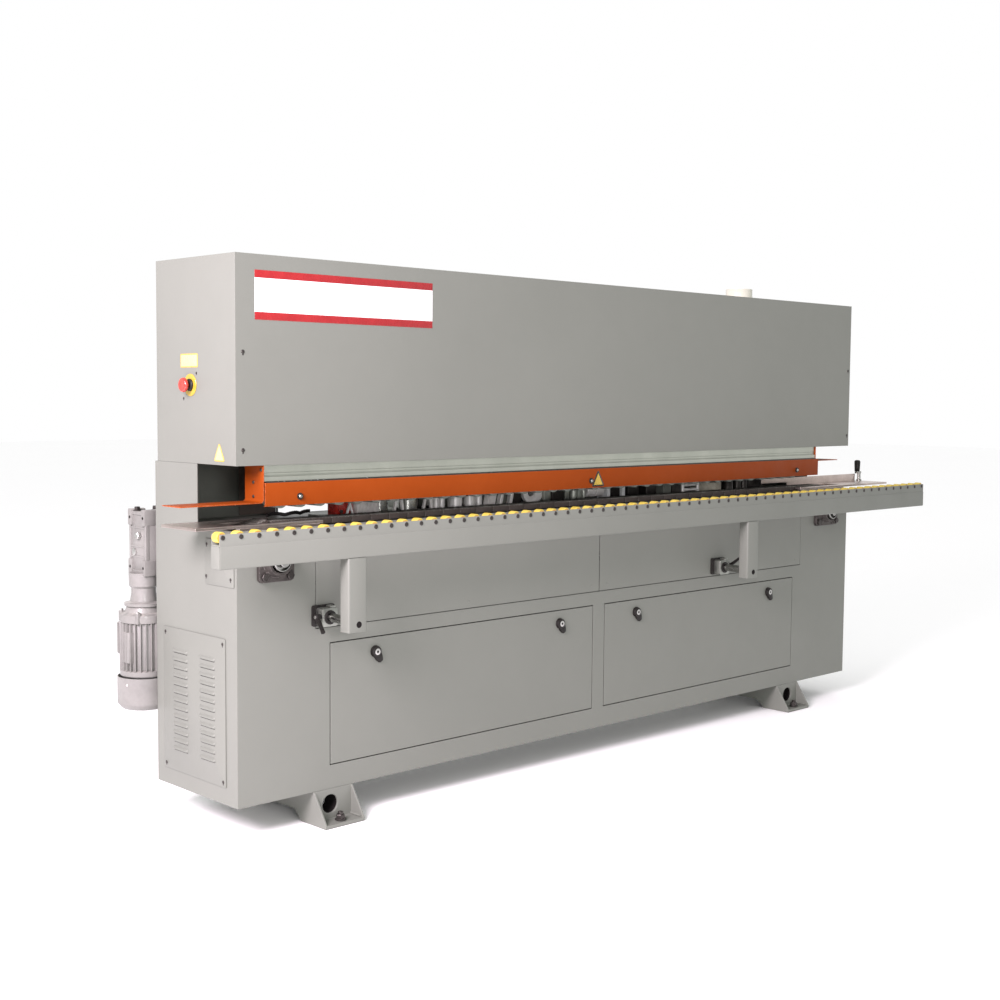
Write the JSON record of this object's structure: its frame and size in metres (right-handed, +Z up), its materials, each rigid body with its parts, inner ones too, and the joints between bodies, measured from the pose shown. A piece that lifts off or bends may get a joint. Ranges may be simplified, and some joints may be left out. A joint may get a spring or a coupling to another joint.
{
  "type": "edge banding machine",
  "caption": "Through-feed edge bander: long sheet cabinet and hood, chain conveyor under a pressure beam, pull-out roller rail, drop doors, gearmotor and work units.",
  "frame": {"origin": "on the floor, under the middle of the machine's box", "axes": "+X along the machine, the way panels travel; +Y from the operator's side to the rear; +Z up"},
  "size_m": [3.46, 0.742, 1.65],
  "materials": {
    "painted_sheet": "satin light grey powder coat",
    "orange_paint": "satin orange powder coat",
    "yellow_roller": "smooth yellow plastic",
    "black_plastic": "satin black plastic",
    "track_pad": "dark rubber pads",
    "bright_steel": "ground and worn steel",
    "beam_aluminium": "extruded, clear anodised",
    "cast_iron": "as cast, black",
    "red_plastic": "gloss red plastic",
    "yellow_plastic": "yellow plastic",
    "cream_plastic": "pale plastic",
    "pressure_rubber": "grey-green rubber tread"
  },
  "bodies": {
    "machine": {"base_cabinet": "painted_sheet", "upper_panel_left": "painted_sheet", "upper_panel_right": "painted_sheet", "vent_cover": "painted_sheet", "drive_hatch": "painted_sheet", "foot_beam_left": "painted_sheet", "foot_beam_right": "painted_sheet", "hood_shell": "painted_sheet", "hood_front_cover": "painted_sheet", "gearbox": "painted_sheet", "motor_body": "painted_sheet", "motor_fan_cover": "painted_sheet", "feed_chain": "track_pad", "conveyor_beam": "bright_steel", "infeed_table": "bright_steel", "outfeed_table": "bright_steel", "outfeed_guide": "bright_steel", "rail_clamp_left": "beam_aluminium", "rail_clamp_right": "beam_aluminium", "press_unit": "beam_aluminium", "trim_motor": "beam_aluminium", "buff_motor": "beam_aluminium", "bearing_drive": "cast_iron", "bearing_idler": "cast_iron", "levelling_bolt_left_front": "cast_iron", "levelling_bolt_left_rear": "cast_iron", "levelling_bolt_right_front": "cast_iron", "levelling_bolt_right_rear": "cast_iron", "glue_pot": "red_plastic", "stop_base_left": "yellow_plastic", "stop_base_right": "yellow_plastic", "dust_port": "cream_plastic"},
    "support_rail": {"support_rail": "painted_sheet", "support_rollers": "yellow_roller", "rail_arm_left": "painted_sheet", "rail_arm_right": "painted_sheet"},
    "pressure_beam": {"pressure_beam": "beam_aluminium", "pressure_rollers": "pressure_rubber", "safety_guard": "orange_paint", "infeed_flag": "orange_paint", "outfeed_flag": "orange_paint"},
    "end_roller_left": {"end_roller_left": "yellow_roller"},
    "end_roller_right": {"end_roller_right": "yellow_roller"},
    "front_door_left": {"front_door_left": "painted_sheet"},
    "front_door_right": {"front_door_right": "painted_sheet"},
    "latch_1": {"latch_1": "black_plastic"},
    "latch_2": {"latch_2": "black_plastic"},
    "latch_3": {"latch_3": "black_plastic"},
    "latch_4": {"latch_4": "black_plastic"},
    "clamp_lever_left": {"clamp_lever_left": "black_plastic"},
    "clamp_lever_right": {"clamp_lever_right": "black_plastic"},
    "stop_button_left": {"stop_button_left": "red_plastic"},
    "stop_button_right": {"stop_button_right": "red_plastic"},
    "height_crank": {"height_crank": "black_plastic"},
    "drive_shaft": {"drive_shaft": "bright_steel"},
    "idler_shaft": {"idler_shaft": "bright_steel"},
    "glue_roller": {"glue_roller": "bright_steel"},
    "press_roller": {"press_roller": "pressure_rubber"},
    "trim_cutter": {"trim_cutter": "bright_steel"},
    "buff_wheel": {"buff_wheel": "cream_plastic"}
  },
  "joints": [
    {"name": "support_rail_slide", "type": "slide", "parent": "machine", "child": "support_rail", "axis": [0, -1, 0], "range_m": [-0.045, 0.25]},
    {"name": "end_roller_left_spin", "type": "hinge", "parent": "support_rail", "child": "end_roller_left", "pos_m": [-1.706, -0.35, 0.8615], "axis": [0, 1, 0], "continuous": true},
    {"name": "end_roller_right_spin", "type": "hinge", "parent": "support_rail", "child": "end_roller_right", "pos_m": [1.7145, -0.35, 0.8615], "axis": [0, 1, 0], "continuous": true},
    {"name": "front_door_left_hinge", "type": "hinge", "parent": "machine", "child": "front_door_left", "pos_m": [-0.6925, -0.209, 0.168], "axis": [1, 0, 0], "range_deg": [0, 90]},
    {"name": "front_door_right_hinge", "type": "hinge", "parent": "machine", "child": "front_door_right", "pos_m": [0.4735, -0.209, 0.168], "axis": [1, 0, 0], "range_deg": [0, 90]},
    {"name": "latch_1_turn", "type": "hinge", "parent": "front_door_left", "child": "latch_1", "pos_m": [-1.083, -0.209, 0.476], "axis": [0, 1, 0], "range_deg": [0, 90]},
    {"name": "latch_2_turn", "type": "hinge", "parent": "front_door_left", "child": "latch_2", "pos_m": [-0.302, -0.209, 0.476], "axis": [0, 1, 0], "range_deg": [0, 90]},
    {"name": "latch_3_turn", "type": "hinge", "parent": "front_door_right", "child": "latch_3", "pos_m": [0.084, -0.209, 0.476], "axis": [0, 1, 0], "range_deg": [0, 90]},
    {"name": "latch_4_turn", "type": "hinge", "parent": "front_door_right", "child": "latch_4", "pos_m": [0.863, -0.209, 0.476], "axis": [0, 1, 0], "range_deg": [0, 90]},
    {"name": "clamp_lever_left_turn", "type": "hinge", "parent": "machine", "child": "clamp_lever_left", "pos_m": [-1.3013, -0.239, 0.604], "axis": [1, 0, 0], "range_deg": [-90, 40]},
    {"name": "clamp_lever_right_turn", "type": "hinge", "parent": "machine", "child": "clamp_lever_right", "pos_m": [0.5673, -0.239, 0.604], "axis": [1, 0, 0], "range_deg": [-50, 90]},
    {"name": "stop_button_left_press", "type": "slide", "parent": "machine", "child": "stop_button_left", "axis": [1, 0, 0], "range_m": [0, 0.006], "stiffness_N_per_m": 600, "springref_m": -0.008},
    {"name": "stop_button_right_press", "type": "slide", "parent": "machine", "child": "stop_button_right", "axis": [-1, 0, 0], "range_m": [0, 0.006], "stiffness_N_per_m": 600, "springref_m": -0.008},
    {"name": "height_crank_turn", "type": "hinge", "parent": "machine", "child": "height_crank", "pos_m": [1.677, -0.091, 0.872], "axis": [0, 0, 1], "continuous": true},
    {"name": "drive_shaft_turn", "type": "hinge", "parent": "machine", "child": "drive_shaft", "pos_m": [-1.438, -0.144, 0.77], "axis": [0, 1, 0], "continuous": true},
    {"name": "idler_shaft_turn", "type": "hinge", "parent": "machine", "child": "idler_shaft", "pos_m": [1.24, -0.144, 0.77], "axis": [0, 1, 0], "continuous": true},
    {"name": "pressure_beam_lift", "type": "slide", "parent": "machine", "child": "pressure_beam", "axis": [0, 0, 1], "range_m": [-0.022, 0.016]},
    {"name": "glue_roller_spin", "type": "hinge", "parent": "machine", "child": "glue_roller", "pos_m": [-0.94, -0.049, 0.87], "axis": [0, 0, 1], "continuous": true},
    {"name": "press_roller_spin", "type": "hinge", "parent": "machine", "child": "press_roller", "pos_m": [-0.83, -0.051, 0.87], "axis": [0, 0, 1], "continuous": true},
    {"name": "trim_cutter_spin", "type": "hinge", "parent": "machine", "child": "trim_cutter", "pos_m": [-0.06, -0.044, 0.87], "axis": [0, 0, 1], "continuous": true},
    {"name": "buff_wheel_spin", "type": "hinge", "parent": "machine", "child": "buff_wheel", "pos_m": [0.7, -0.024, 0.87], "axis": [0, 0, 1], "continuous": true}
  ],
  "couplings": [
    {"joint": "idler_shaft_turn", "follows": "drive_shaft_turn", "ratio": 1}
  ]
}
